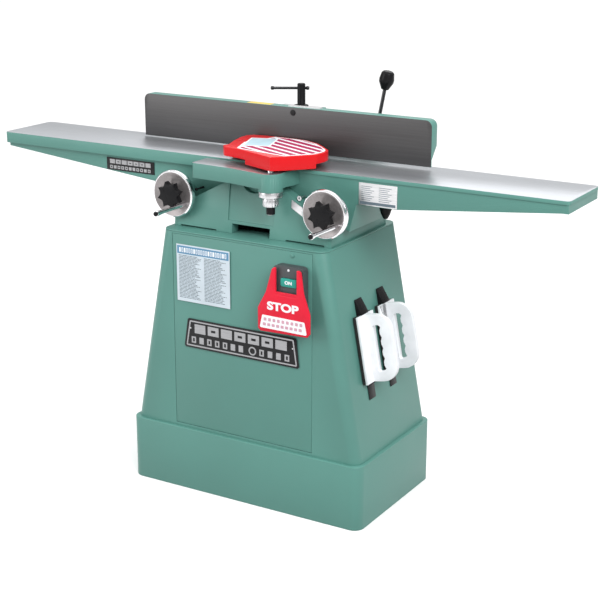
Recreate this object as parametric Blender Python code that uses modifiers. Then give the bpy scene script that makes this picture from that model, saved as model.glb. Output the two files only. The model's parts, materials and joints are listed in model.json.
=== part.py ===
"""Jointer with a closed steel stand. Metres, Z up, infeed side at +X, operator's side at -Y, floor at z = 0."""

import math

import bmesh
import bpy
from mathutils import Matrix, Vector

for thing in list(bpy.data.objects):
    bpy.data.objects.remove(thing, do_unlink=True)

# Stand and plinth
PLINTH_X, PLINTH_Y, PLINTH_TOP = 0.387, 0.222, 0.189
STAND_TOP = 0.779
STAND_TOP_X, STAND_TOP_Y = 0.267, 0.209
STAND_LOW_X, STAND_LOW_Y = 0.376, 0.212
CORNER = 0.030
SHEET = 0.003
# Tables
TABLE_FRONT, TABLE_BACK = -0.111, 0.101
OUT_END, IN_END = -0.928, 0.901
OUT_TOP, IN_TOP = 0.978, 0.974
WAY_PEAK, WAY_SLOPE = 0.9667, 0.525
WAY_ANGLE = math.atan(WAY_SLOPE)
BASE_DRAFT = 0.137
WHEEL_X, WHEEL_Z = 0.246, 0.874
CRANK_REACH = 0.047
# Cutter and drive
CUTTER_Z = 0.940
MOTOR_Z = 0.360
BELT_Y = 0.180
# Guard
POST_X, POST_Y = 0.087, -0.190
GUARD_TOP, GUARD_LOW = 1.020, 0.982
# Fence
FENCE_FACE, FENCE_LOW, FENCE_HIGH = 0.0565, 0.981, 1.108
FENCE_LEFT, FENCE_RIGHT = -0.5145, 0.4433
# The slide lock's cross bar at rest
BAR_ANGLE = math.radians(30)
# Push block hangers on the stand's right side
HANGER_YS = (-0.079, 0.047)


def new_collection(name):
    made = bpy.data.collections.new(name)
    bpy.context.scene.collection.children.link(made)
    return made


PARTS = new_collection("jointer")
CUTTERS = new_collection("cutters")


def paint(name, colour, roughness, metallic):
    made = bpy.data.materials.new(name)
    made.use_nodes = True
    shader = made.node_tree.nodes["Principled BSDF"]
    shader.inputs["Base Color"].default_value = (*colour, 1.0)
    shader.inputs["Roughness"].default_value = roughness
    shader.inputs["Metallic"].default_value = metallic
    return made


GREEN = paint("machine_green", (0.127, 0.292, 0.246), 0.42, 0.0)
GROUND = paint("ground_iron", (0.52, 0.51, 0.50), 0.34, 0.9)
FENCE_GREY = paint("fence_iron", (0.11, 0.11, 0.115), 0.42, 0.8)
STEEL = paint("steel", (0.55, 0.55, 0.56), 0.30, 1.0)
CHROME = paint("chrome", (0.75, 0.75, 0.76), 0.12, 1.0)
BLACK = paint("black_plastic", (0.015, 0.015, 0.016), 0.38, 0.0)
RUBBER = paint("rubber", (0.02, 0.02, 0.02), 0.85, 0.0)
RED = paint("guard_red", (0.70, 0.016, 0.020), 0.32, 0.0)
WHITE = paint("white_plastic", (0.78, 0.79, 0.80), 0.45, 0.0)
GREY_BOX = paint("switch_grey", (0.05, 0.05, 0.052), 0.50, 0.0)
ON_GREEN = paint("on_green", (0.01, 0.34, 0.22), 0.40, 0.0)
LABEL = paint("label_white", (0.80, 0.84, 0.85), 0.40, 0.0)
PLATE_BLACK = paint("plate_black", (0.02, 0.02, 0.02), 0.35, 0.3)
ALUMINIUM = paint("aluminium", (0.60, 0.60, 0.61), 0.38, 1.0)


def place(name, mesh_data, material, origin, collection):
    mesh_data.transform(Matrix.Translation(-Vector(origin)))
    made = bpy.data.objects.new(name, mesh_data)
    made.location = origin
    collection.objects.link(made)
    if material is not None:
        mesh_data.materials.append(material)
    return made


def from_bmesh(name, bm, material, origin=(0, 0, 0), collection=None):
    bmesh.ops.remove_doubles(bm, verts=bm.verts, dist=0.000001)
    bmesh.ops.recalc_face_normals(bm, faces=bm.faces)
    data = bpy.data.meshes.new(name)
    bm.to_mesh(data)
    bm.free()
    return place(name, data, material, origin, collection or PARTS)


def lift(axis, pair, along):
    a, b = pair
    if axis == "x":
        return (along, a, b)
    if axis == "y":
        return (a, along, b)
    return (a, b, along)


def prism(name, outline, axis, low, high, material, origin=(0, 0, 0), collection=None):
    """A closed outline, drawn across the axis, drawn out from low to high."""
    bm = bmesh.new()
    near = [bm.verts.new(lift(axis, pair, low)) for pair in outline]
    far = [bm.verts.new(lift(axis, pair, high)) for pair in outline]
    bm.faces.new(near)
    bm.faces.new(list(reversed(far)))
    count = len(outline)
    for i in range(count):
        j = (i + 1) % count
        bm.faces.new((near[i], near[j], far[j], far[i]))
    return from_bmesh(name, bm, material, origin, collection)


def box(name, low, high, material, origin=(0, 0, 0), collection=None):
    outline = [(low[0], low[1]), (high[0], low[1]), (high[0], high[1]), (low[0], high[1])]
    return prism(name, outline, "z", low[2], high[2], material, origin, collection)


def arc(cx, cy, radius, start, end, steps):
    found = []
    for i in range(steps + 1):
        a = math.radians(start + (end - start) * i / steps)
        found.append((cx + radius * math.cos(a), cy + radius * math.sin(a)))
    return found


def rounded(x0, x1, y0, y1, radius, steps=5):
    found = arc(x1 - radius, y1 - radius, radius, 0, 90, steps)
    found += arc(x0 + radius, y1 - radius, radius, 90, 180, steps)
    found += arc(x0 + radius, y0 + radius, radius, 180, 270, steps)
    found += arc(x1 - radius, y0 + radius, radius, 270, 360, steps)
    return found


def lathe(name, profile, centre, direction, material, steps=32, ring=False, origin=None, collection=None):
    """Turns a profile of (radius, distance) pairs about the line through centre. A ring keeps its bore open."""
    bm = bmesh.new()
    along = Vector(direction).normalized()
    side = along.orthogonal().normalized()
    other = along.cross(side)
    base = Vector(centre)
    rows = []
    for radius, distance in profile:
        middle = base + along * distance
        if radius < 1e-7:
            rows.append([bm.verts.new(middle)])
            continue
        row = []
        for i in range(steps):
            a = 2 * math.pi * i / steps
            row.append(bm.verts.new(middle + (side * math.cos(a) + other * math.sin(a)) * radius))
        rows.append(row)
    pairs = list(zip(rows, rows[1:]))
    if ring:
        pairs.append((rows[-1], rows[0]))
    for first, second in pairs:
        for i in range(steps):
            j = (i + 1) % steps
            if len(first) == 1 and len(second) == 1:
                continue
            if len(first) == 1:
                bm.faces.new((first[0], second[i], second[j]))
            elif len(second) == 1:
                bm.faces.new((first[i], second[0], first[j]))
            else:
                bm.faces.new((first[i], first[j], second[j], second[i]))
    return from_bmesh(name, bm, material, origin or centre, collection)


def rod(radius, length, bevel=0.0):
    """Profile of a plain round bar from 0 to length."""
    if bevel <= 0:
        return [(0, 0), (radius, 0), (radius, length), (0, length)]
    return [(0, 0), (radius - bevel, 0), (radius, bevel), (radius, length - bevel), (radius - bevel, length), (0, length)]


def change(target, tool, operation):
    step = target.modifiers.new(operation.lower(), "BOOLEAN")
    step.operation = operation
    step.solver = "EXACT"
    step.object = tool
    if tool.name not in CUTTERS.objects:
        for holder in list(tool.users_collection):
            holder.objects.unlink(tool)
        CUTTERS.objects.link(tool)
    tool.hide_render = True
    tool.display_type = "WIRE"


def cut(target, *tools):
    for tool in tools:
        change(target, tool, "DIFFERENCE")


def fuse(target, *tools):
    for tool in tools:
        change(target, tool, "UNION")


def cut_box(target, low, high):
    cut(target, box(target.name + "_cut", low, high, None, collection=CUTTERS))


def cut_rod(target, centre, direction, radius, length, steps=32):
    cut(target, lathe(target.name + "_bore", rod(radius, length), centre, direction, None, steps, collection=CUTTERS))


def fuse_box(target, low, high):
    fuse(target, box(target.name + "_add", low, high, None, collection=CUTTERS))


def fuse_rod(target, centre, direction, profile, steps=32):
    fuse(target, lathe(target.name + "_add", profile, centre, direction, None, steps, collection=CUTTERS))


def soften(target, width, segments=2):
    step = target.modifiers.new("edge", "BEVEL")
    step.width = width
    step.segments = segments
    step.limit_method = "ANGLE"
    step.angle_limit = math.radians(50)


def way_z(x):
    return WAY_PEAK - WAY_SLOPE * abs(x)


def plinth():
    made = prism("plinth", rounded(-PLINTH_X, PLINTH_X, -PLINTH_Y, PLINTH_Y, CORNER), "z", 0.0, PLINTH_TOP, GREEN)
    wall = 0.004
    inside = rounded(-PLINTH_X + wall, PLINTH_X - wall, -PLINTH_Y + wall, PLINTH_Y - wall, CORNER - wall)
    cut(made, prism("plinth_hollow", inside, "z", wall, PLINTH_TOP - wall, None, collection=CUTTERS))
    cut_box(made, (-0.320, -0.160, 0.150), (0.320, 0.160, 0.200))


def ring_of(bm, half_x, half_y, radius, z):
    return [bm.verts.new((x, y, z)) for x, y in rounded(-half_x, half_x, -half_y, half_y, radius)]


def stand_body():
    low, high = PLINTH_TOP + 0.0004, STAND_TOP - 0.0045
    bm = bmesh.new()
    rings = [
        ring_of(bm, STAND_LOW_X, STAND_LOW_Y, CORNER, low),
        ring_of(bm, STAND_TOP_X, STAND_TOP_Y, CORNER, high),
        ring_of(bm, STAND_TOP_X - SHEET, STAND_TOP_Y - SHEET, CORNER - SHEET, high),
        ring_of(bm, STAND_LOW_X - SHEET, STAND_LOW_Y - SHEET, CORNER - SHEET, low),
    ]
    count = len(rings[0])
    for k in range(4):
        first, second = rings[k], rings[(k + 1) % 4]
        for i in range(count):
            j = (i + 1) % count
            bm.faces.new((first[i], first[j], second[j], second[i]))
    made = from_bmesh("stand_body", bm, GREEN)
    cut_box(made, (-0.2300, -0.300, 0.1990), (0.2300, -0.150, 0.7700))
    cut_rod(made, (0.0, 0.150, 0.560), (0, 1, 0), 0.0515, 0.100)


def stand_top():
    made = prism("stand_top", rounded(-STAND_TOP_X, STAND_TOP_X, -STAND_TOP_Y, STAND_TOP_Y, CORNER), "z",
                 STAND_TOP - 0.0042, STAND_TOP, GREEN)
    cut_box(made, (-0.074, -0.099, 0.700), (0.074, 0.096, 0.800))
    cut_box(made, (-0.060, 0.164, 0.700), (0.060, 0.197, 0.800))


def front_panel():
    outline = [(-0.2121, 0.1998), (-0.2091, 0.7692), (-0.2061, 0.7692), (-0.2091, 0.1998)]
    prism("front_panel", outline, "x", -0.2292, 0.2292, GREEN)


def stand_details():
    box("instruction_plate", (-0.214, -0.2132, 0.576), (-0.034, -0.2123, 0.742), LABEL)
    outline = [(-0.180, 0.5235), (-0.176, 0.5275), (0.178, 0.5275), (0.182, 0.5235), (0.1905, 0.4455),
               (0.1865, 0.4405), (-0.1885, 0.4405), (-0.1925, 0.4455)]
    prism("name_plate", outline, "y", -0.2142, -0.2126, PLATE_BLACK)
    port = [(0.0485, 0), (0.0508, 0), (0.0508, 0.006), (0.060, 0.006), (0.060, 0.009), (0.0508, 0.009),
            (0.0508, 0.060), (0.0485, 0.060)]
    lathe("dust_port", port, (0.0, 0.2045, 0.560), (0, 1, 0), BLACK, 32, True)


def chip_chute():
    bm = bmesh.new()
    rings = []
    for half_x, y0, y1, z in ((0.0735, -0.0985, 0.0955, 0.7740), (0.0500, -0.045, 0.055, 0.630),
                              (0.0480, -0.043, 0.053, 0.630), (0.0715, -0.0965, 0.0935, 0.7740)):
        corners = [(-half_x, y0), (half_x, y0), (half_x, y1), (-half_x, y1)]
        rings.append([bm.verts.new((x, y, z)) for x, y in corners])
    for k in range(4):
        first, second = rings[k], rings[(k + 1) % 4]
        for i in range(4):
            j = (i + 1) % 4
            bm.faces.new((first[i], first[j], second[j], second[i]))
    from_bmesh("chip_chute", bm, STEEL)


def base_casting():
    foot = STAND_TOP + 0.0003
    peak = 0.9176
    flat = (WAY_PEAK - peak) / WAY_SLOPE
    outline = [(-0.257, foot), (0.257, foot), (0.257, way_z(0.257)), (flat, peak), (-flat, peak), (-0.257, way_z(0.257))]
    made = prism("base_casting", outline, "y", -0.159, 0.159, GREEN)
    for vertex in made.data.vertices:
        inward = 0.159 - (vertex.co.z - foot) * BASE_DRAFT
        vertex.co.y = math.copysign(inward, vertex.co.y)
    hollow = [(-0.237, 0.770), (0.237, 0.770), (0.237, 0.8185), (flat, 0.894), (-flat, 0.894), (-0.237, 0.8185)]
    cut(made, prism("base_hollow", hollow, "y", -0.124, 0.124, None, collection=CUTTERS))
    cut_box(made, (-0.080, -0.102, 0.880), (0.080, 0.099, 1.000))
    cut_rod(made, (0, -0.200, CUTTER_Z), (0, 1, 0), 0.0440, 0.400, 40)
    cut_box(made, (-0.062, -0.200, 0.760), (0.062, -0.110, 0.8065))
    panel = box("base_panel", (-0.077, -0.200, 0.8150), (0.072, -0.1560, 0.930), None, collection=CUTTERS)
    for vertex in panel.data.vertices:
        vertex.co.y += (vertex.co.z - foot) * BASE_DRAFT
    cut(made, panel)
    for side in (-1, 1):
        cut_box(made, (min(side * 0.114, side * 0.236), -0.200, 0.760), (max(side * 0.114, side * 0.236), -0.110, 0.7835))


def bearing_block(name, y0, y1):
    outline = arc(0, CUTTER_Z, 0.0435, 180, 360, 20)
    outline += [(0.030, 0.9405), (0.030, 0.950), (0.022, 0.9585), (-0.022, 0.9585), (-0.030, 0.950), (-0.030, 0.9405)]
    made = prism(name, outline, "y", y0, y1, GREEN)
    cut_rod(made, (0, y0 - 0.01, CUTTER_Z), (0, 1, 0), 0.0124, y1 - y0 + 0.02)


def cutterhead():
    profile = [(0, -0.1290), (0.0110, -0.1290), (0.0120, -0.1280), (0.0120, -0.1055), (0.0180, -0.1055), (0.0180, -0.1045),
               (0.0360, -0.1045), (0.0360, 0.0980), (0.0180, 0.0980), (0.0180, 0.1000), (0.0120, 0.1000),
               (0.0120, 0.1925), (0, 0.1925)]
    made = lathe("cutterhead", profile, (0, 0, CUTTER_Z), (0, 1, 0), STEEL, 36)
    for i in range(3):
        a = math.radians(90 + 120 * i)
        middle = Vector((0.0325 * math.cos(a), 0, CUTTER_Z + 0.0325 * math.sin(a)))
        slot = box("gib_slot", (-0.009, -0.120, -0.0105), (0.0045, 0.120, 0.010), None, collection=CUTTERS)
        slot.matrix_world = Matrix.Translation(middle) @ Matrix.Rotation(math.radians(90) - a, 4, "Y")
        cut(made, slot)
        knife = box("knife_%d" % (i + 1), (0.0010, -0.1040, -0.0100), (0.0041, 0.0975, 0.0055), CHROME)
        knife.matrix_world = Matrix.Translation(middle) @ Matrix.Rotation(math.radians(90) - a, 4, "Y")


def pulley(name, bore, outer, groove, z, material):
    y = BELT_Y
    profile = [(bore, y - 0.0120), (outer, y - 0.0120), (outer, y - 0.0055), (groove, y - 0.0048), (groove, y + 0.0048),
               (outer, y + 0.0055), (outer, y + 0.0120), (bore, y + 0.0120)]
    lathe(name, profile, (0, 0, z), (0, 1, 0), material, 32, True)


def belt():
    """Open loop of constant thickness round the two pulleys, built as four rings of points."""
    top_r, low_r = 0.0259, 0.0399
    span = CUTTER_Z - MOTOR_Z
    lean = math.degrees(math.asin((low_r - top_r) / span))
    bm = bmesh.new()
    rings = []
    for thick, y in ((0.0, BELT_Y - 0.004), (0.0060, BELT_Y - 0.004), (0.0060, BELT_Y + 0.004), (0.0, BELT_Y + 0.004)):
        points = arc(0, CUTTER_Z, top_r + thick, lean, 180 - lean, 16)
        points += arc(0, MOTOR_Z, low_r + thick, 180 - lean, 360 + lean, 20)
        rings.append([bm.verts.new((x, y, z)) for x, z in points])
    count = len(rings[0])
    for k in range(4):
        first, second = rings[k], rings[(k + 1) % 4]
        for i in range(count):
            j = (i + 1) % count
            bm.faces.new((first[i], first[j], second[j], second[i]))
    from_bmesh("v_belt", bm, RUBBER)


def drive():
    pulley("cutter_pulley", 0.0123, 0.0310, 0.0255, CUTTER_Z, STEEL)
    y = BELT_Y
    profile = [(0, 0.1325), (0.0100, 0.1325), (0.0100, y - 0.0120), (0.0450, y - 0.0120), (0.0450, y - 0.0055),
               (0.0395, y - 0.0048), (0.0395, y + 0.0048), (0.0450, y + 0.0055), (0.0450, y + 0.0120), (0, y + 0.0120)]
    lathe("motor_pulley", profile, (0, 0, MOTOR_Z), (0, 1, 0), STEEL, 32)
    belt()
    profile = [(0, 0), (0.060, 0), (0.078, 0.012), (0.082, 0.030), (0.082, 0.190), (0.078, 0.208), (0.050, 0.222),
               (0.020, 0.222), (0.020, 0.228), (0.0105, 0.228), (0.0105, 0.200), (0, 0.200)]
    body = lathe("motor", profile, (0, -0.072, MOTOR_Z), (0, 1, 0), BLACK, 28)
    fuse_box(body, (-0.062, -0.030, 0.2709), (0.062, 0.100, 0.300))
    box("motor_shelf", (-0.3560, -0.100, 0.2600), (0.3560, 0.165, 0.2705), GREEN)
    cover = box("belt_guard", (-0.075, 0.1620, STAND_TOP + 0.0004), (0.075, 0.2060, 0.983), GREEN)
    cut_box(cover, (-0.0725, 0.120, 0.700), (0.0725, 0.2035, 0.9805))


def way_box(name, side, s0, s1, y0, y1, h0, h1, material, collection=None):
    """A block set along one of the inclined ways: s runs up the way from the wheel's shaft, h is height off the way."""
    made = box(name, (s0, y0, h0), (s1, y1, h1), material, collection=collection)
    up = Vector((-side * math.cos(WAY_ANGLE), 0, math.sin(WAY_ANGLE)))
    normal = Vector((side * math.sin(WAY_ANGLE), 0, math.cos(WAY_ANGLE)))
    across = normal.cross(up)
    axes = Matrix((up, across, normal)).transposed().to_4x4()
    start = Vector((side * WHEEL_X, 0, WHEEL_Z)) - normal * way_height()
    flip = 1.0 if across.y > 0 else -1.0
    for vertex in made.data.vertices:
        vertex.co.y *= flip
    if flip < 0:
        made.data.flip_normals()
    made.data.transform(axes)
    made.data.transform(Matrix.Translation(start))
    return made


def way_height():
    """How far a wheel's shaft stands off the way."""
    return (WHEEL_Z - way_z(WHEEL_X)) * math.cos(WAY_ANGLE)


def screw_room(target, side):
    """The shaft's bore and the slot that houses the lead screw, its bevel gears and the nut."""
    cut_rod(target, (side * WHEEL_X, -0.200, WHEEL_Z), (0, 1, 0), 0.0086, 0.140, 24)
    cut(target, way_box(target.name + "_slot", side, -0.022, 0.160, -0.084, -0.026, -0.020, 0.052, None, CUTTERS))


def outfeed_table():
    r = 0.012
    plan = [(-0.038, TABLE_FRONT), (-0.038, TABLE_BACK)]
    plan += arc(OUT_END + r, TABLE_BACK - r, r, 90, 180, 4) + arc(OUT_END + r, TABLE_FRONT + r, r, 180, 270, 4)
    made = prism("outfeed_table", plan, "z", 0.946, OUT_TOP, GREEN)
    lift_off = 0.0005
    apron = [(-0.918, 0.950), (-0.918, 0.9352), (-0.360, 0.883), (-0.305, 0.878), (-0.285, way_z(0.285) + lift_off),
             (-0.062, way_z(0.062) + lift_off), (-0.056, 0.950)]
    fuse(made, prism("outfeed_apron", apron, "y", TABLE_FRONT + 0.010, TABLE_BACK - 0.010, None, collection=CUTTERS))
    fuse_rod(made, (-WHEEL_X, -0.1500, WHEEL_Z), (0, 1, 0), rod(0.024, 0.060))
    nose = [(-0.0562, 0.920), (-0.0562, 0.950), (-0.0390, 0.966), (-0.020, 0.966), (-0.020, 0.920)]
    cut(made, prism("outfeed_nose", nose, "y", -0.200, 0.200, None, collection=CUTTERS))
    for x0, x1 in ((-0.905, -0.770), (-0.758, -0.620), (-0.608, -0.470), (-0.458, -0.320)):
        cut_box(made, (x0, TABLE_FRONT + 0.020, 0.800), (x1, TABLE_BACK - 0.020, 0.962))
    screw_room(made, -1)


def ledge_plan():
    plan = [(0.041, -0.114), (-0.171, -0.114)]
    plan += arc(-0.161, -0.1830, 0.010, 180, 265, 4)
    plan += [(-0.037, -0.200), (0.036, -0.2145)]
    plan += arc(POST_X, POST_Y, 0.034, 255, 360, 8)
    plan += [(0.1195, -0.165), (0.126, -0.133), (0.128, -0.100), (0.041, -0.100)]
    return plan


def infeed_table():
    r = 0.012
    plan = [(0.040, TABLE_BACK), (0.040, TABLE_FRONT)]
    plan += arc(IN_END - r, TABLE_FRONT + r, r, 270, 360, 4) + arc(IN_END - r, TABLE_BACK - r, r, 0, 90, 4)
    made = prism("infeed_table", plan, "z", 0.964, IN_TOP, GREEN)
    lift_off = 0.0005
    apron = [(0.0455, 0.9680), (0.0455, 0.9600), (0.056, 0.950), (0.062, way_z(0.062) + lift_off),
             (0.285, way_z(0.285) + lift_off), (0.305, 0.895), (0.425, 0.895), (0.880, 0.941), (0.898, 0.941),
             (0.898, 0.9680)]
    fuse(made, prism("infeed_apron", apron, "y", TABLE_FRONT + 0.003, TABLE_BACK - 0.003, None, collection=CUTTERS))
    fuse(made, prism("ledge", ledge_plan(), "z", 0.932, IN_TOP, None, collection=CUTTERS))
    fuse_rod(made, (POST_X, POST_Y, 0.923), (0, 0, 1), rod(0.034, 0.040))
    fuse_rod(made, (WHEEL_X, -0.1500, WHEEL_Z), (0, 1, 0), rod(0.024, 0.060))
    cut_box(made, (-0.085, -0.152, 0.900), (0.056, -0.0995, 0.9685))
    cut_rod(made, (POST_X, POST_Y, 0.900), (0, 0, 1), 0.0085, 0.100, 24)
    for x0, x1 in ((0.320, 0.455), (0.467, 0.605), (0.617, 0.745), (0.757, 0.885)):
        cut_box(made, (x0, TABLE_FRONT + 0.013, 0.800), (x1, TABLE_BACK - 0.013, 0.962))
    screw_room(made, 1)


def star(cx, cz, inner, outer, lobes):
    """A star with pointed tips and round valleys, its first tip a little above the level line."""
    found = []
    for i in range(lobes * 6):
        a = 2 * math.pi * i / (lobes * 6)
        valley = abs(math.sin(lobes * a / 2)) ** 0.8
        reach = outer - (outer - inner) * valley
        turned = a + math.radians(17)
        found.append((cx + reach * math.cos(turned), cz + reach * math.sin(turned)))
    return found


def table_wheel(label, side):
    x = side * WHEEL_X
    centre = (x, 0, WHEEL_Z)
    profile = [(0, -0.1805), (0.0080, -0.1805), (0.0090, -0.1760), (0.026, -0.1760), (0.028, -0.1720), (0.0560, -0.1700),
               (0.0580, -0.1780), (0.0615, -0.1815), (0.0655, -0.1800), (0.0685, -0.1740), (0.0680, -0.1660),
               (0.0640, -0.1625), (0.0590, -0.1640), (0.0560, -0.1660), (0.026, -0.1665), (0.0225, -0.1506),
               (0.0080, -0.1506), (0.0080, -0.0790), (0.0130, -0.0790), (0.0100, -0.0660), (0, -0.0660)]
    lathe(label + "_wheel", profile, centre, (0, 1, 0), CHROME, 40)
    prism(label + "_lock_knob", star(x, WHEEL_Z, 0.0285, 0.0395, 8), "y", -0.2010, -0.1822, BLACK, centre)
    a = math.radians(-33)
    gx, gz = x + CRANK_REACH * math.cos(a), WHEEL_Z + CRANK_REACH * math.sin(a)
    grip = [(0, -0.0145), (0.0055, -0.0135), (0.0078, -0.0095), (0.0080, -0.0010), (0.0072, 0.0030), (0.0060, 0.020),
            (0.0052, 0.060), (0.0058, 0.100), (0.0062, 0.122), (0.0062, 0.1300), (0.0, 0.1300)]
    lathe(label + "_crank_handle", grip, (gx, -0.3045, gz), (0, 1, 0), CHROME, 16)


def lead_screw(label, side):
    up = Vector((-side * math.cos(WAY_ANGLE), 0, math.sin(WAY_ANGLE)))
    start = Vector((side * WHEEL_X, -0.050, WHEEL_Z))
    profile = [(0, 0.0150), (0.0080, 0.0150), (0.0120, 0.0230), (0.0070, 0.0230), (0.0070, 0.1540), (0, 0.1540)]
    lathe(label + "_lead_screw", profile, start, up, STEEL, 20)
    nut = way_box(label + "_nut", side, 0.0780, 0.1000, -0.0640, -0.0360, 0.0004, 0.0450, STEEL)
    cut_rod(nut, start + up * 0.060, up, 0.0075, 0.060, 20)


def guard_plan():
    return [(0.100, -0.213), (0.034, -0.1865), (-0.0335, -0.1594), (-0.088, -0.150), (-0.104, -0.132), (-0.098, -0.112),
            (-0.116, -0.060), (-0.128, -0.010), (-0.131, 0.028), (-0.118, 0.044), (-0.090, 0.051), (-0.036, 0.0525),
            (0.020, 0.0515), (0.061, 0.0462), (0.112, 0.020), (0.1556, -0.0188), (0.184, -0.048), (0.192, -0.0672),
            (0.193, -0.090), (0.188, -0.118), (0.1655, -0.1465), (0.135, -0.180)]


def inset(plan, depth):
    found = []
    count = len(plan)
    for i in range(count):
        before = Vector(plan[i]) - Vector(plan[i - 1])
        after = Vector(plan[(i + 1) % count]) - Vector(plan[i])
        n1 = Vector((before.y, -before.x)).normalized()
        n2 = Vector((after.y, -after.x)).normalized()
        mid = (n1 + n2).normalized()
        found.append(tuple(Vector(plan[i]) + mid * depth / max(0.5, mid.dot(n1))))
    return found


def guard():
    plan = guard_plan()
    pivot = (POST_X, POST_Y, GUARD_LOW)
    made = prism("guard", plan, "z", GUARD_LOW, GUARD_TOP, RED, pivot)
    inner = inset(plan, 0.0045)
    cut(made, prism("guard_hollow", inner, "z", 0.950, GUARD_TOP - 0.0045, None, collection=CUTTERS))
    arch = [(0.230, -0.120), (0.148, -0.118), (0.020, -0.150), (-0.008, -0.170), (-0.020, -0.200), (-0.200, -0.200),
            (-0.200, 0.100), (0.230, 0.100)]
    cut(made, prism("guard_arch", arch, "z", 0.950, 0.9945, None, collection=CUTTERS))
    lathe("guard_post", [(0, 0.857), (0.0100, 0.857), (0.0120, 0.859), (0.0120, 0.8792), (0.0080, 0.8792),
                         (0.0080, 1.0150), (0, 1.0150)], (POST_X, POST_Y, 0), (0, 0, 1), STEEL, 20)
    lathe("post_flange", [(0.0085, 0.9075), (0.0325, 0.9075), (0.0335, 0.9090), (0.0335, 0.9227), (0.0085, 0.9227)],
          (POST_X, POST_Y, 0), (0, 0, 1), STEEL, 32, True)
    lathe("spring_knob", [(0.0085, 0.8797), (0.0180, 0.8797), (0.0225, 0.8850), (0.0225, 0.9040), (0.0250, 0.9070),
                          (0.0085, 0.9070)], (POST_X, POST_Y, 0), (0, 0, 1), STEEL, 24, True)


def fence():
    r = 0.019
    outline = [(FENCE_LEFT, FENCE_LOW), (FENCE_RIGHT, FENCE_LOW)]
    outline += arc(FENCE_RIGHT - r, FENCE_HIGH - r, r, 0, 90, 5) + arc(FENCE_LEFT + r, FENCE_HIGH - r, r, 90, 180, 5)
    back = 0.0895
    made = prism("fence", outline, "y", FENCE_FACE, back, FENCE_GREY, (0, FENCE_FACE, FENCE_LOW))
    under = [(0.0605, 0.900), (0.0605, 1.000), (back, 1.036), (0.120, 1.036), (0.120, 0.900)]
    cut(made, prism("fence_under", under, "x", -0.700, 0.700, None, collection=CUTTERS))
    for x0, x1 in ((-0.500, -0.362), (-0.350, -0.212), (-0.178, -0.006), (0.006, 0.178), (0.212, 0.314), (0.326, 0.429)):
        cut_box(made, (x0, 0.0680, 1.0150), (x1, 0.120, 1.0980))


def quadrant(name, x0, x1):
    turn = (FENCE_FACE, FENCE_LOW)
    outline = arc(turn[0], turn[1], 0.128, 12, 74, 10)
    outline += arc(turn[0], turn[1], 0.095, 69, 12, 8)
    made = prism(name, outline, "x", x0, x1, STEEL, (0, FENCE_FACE, FENCE_LOW))
    cut_box(made, (x0 - 0.01, 0.050, 0.950), (x1 + 0.01, 0.0898, 1.200))


def fence_mount():
    support = box("fence_support", (-0.150, 0.164, 0.986), (0.150, 0.290, 1.000), GREEN)
    for side in (-1, 1):
        low, high = sorted((side * 0.090, side * 0.148))
        fuse_box(support, (low, 0.1535, 0.830), (high, 0.1740, 0.9895))
    carriage = box("fence_carriage", (-0.213, 0.150, 1.0004), (0.213, 0.250, 1.0240), GREEN)
    for side in (-1, 1):
        low, high = sorted((side * 0.1893, side * 0.2007))
        cut_box(carriage, (low, 0.100, 0.980), (high, 0.215, 1.050))
    fuse_box(carriage, (-0.130, 0.180, 1.020), (0.012, 0.238, 1.083))
    fuse_box(carriage, (0.180, 0.1870, 1.020), (0.2125, 0.2230, 1.050))
    cut_box(carriage, (0.170, 0.1955, 1.0265), (0.230, 0.2145, 1.070))
    quadrant("fence_quadrant_l", -0.2000, -0.1900)
    quadrant("fence_quadrant_r", 0.1900, 0.2000)


def fence_handles():
    x, y = -0.0533, 0.205
    post = lathe("slide_lock_post", [(0, 0), (0.021, 0), (0.021, 0.006), (0.0120, 0.008), (0.0120, 0.066), (0.0100, 0.0690),
                                     (0, 0.0690)], (x, y, 1.0838), (0, 0, 1), BLACK, 24)
    middle = Vector((x, y, 1.1389))
    along = Vector((math.cos(BAR_ANGLE), math.sin(BAR_ANGLE), 0))
    cut_rod(post, middle - along * 0.05, along, 0.0043, 0.100, 16)
    ends = [(0, 0), (0.0040, 0.0005), (0.0056, 0.003), (0.0056, 0.008), (0.0040, 0.0105), (0.0040, 0.1035),
            (0.0056, 0.106), (0.0056, 0.111), (0.0040, 0.1135), (0, 0.114)]
    lathe("slide_lock_bar", ends, middle - along * 0.0900, along, STEEL, 16)
    foot = Vector((0.1975, 0.205, 1.0385))
    head = Vector((0.2214, 0.205, 1.1560))
    way = (head - foot).normalized()
    length = (head - foot).length
    lever = lathe("tilt_lever", [(0, -0.0090), (0.0110, -0.0090), (0.0110, 0.0090), (0, 0.0090)], foot, (0, 1, 0), CHROME, 24)
    fuse_rod(lever, foot, way, rod(0.0052, length), 16)
    knob = [(0, 0.0003), (0.0105, 0.0003), (0.0125, 0.004), (0.0210, 0.021), (0.0215, 0.030), (0.0180, 0.048),
            (0.0130, 0.0525), (0, 0.0535)]
    lathe("tilt_lever_knob", knob, head, way, BLACK, 20)


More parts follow.
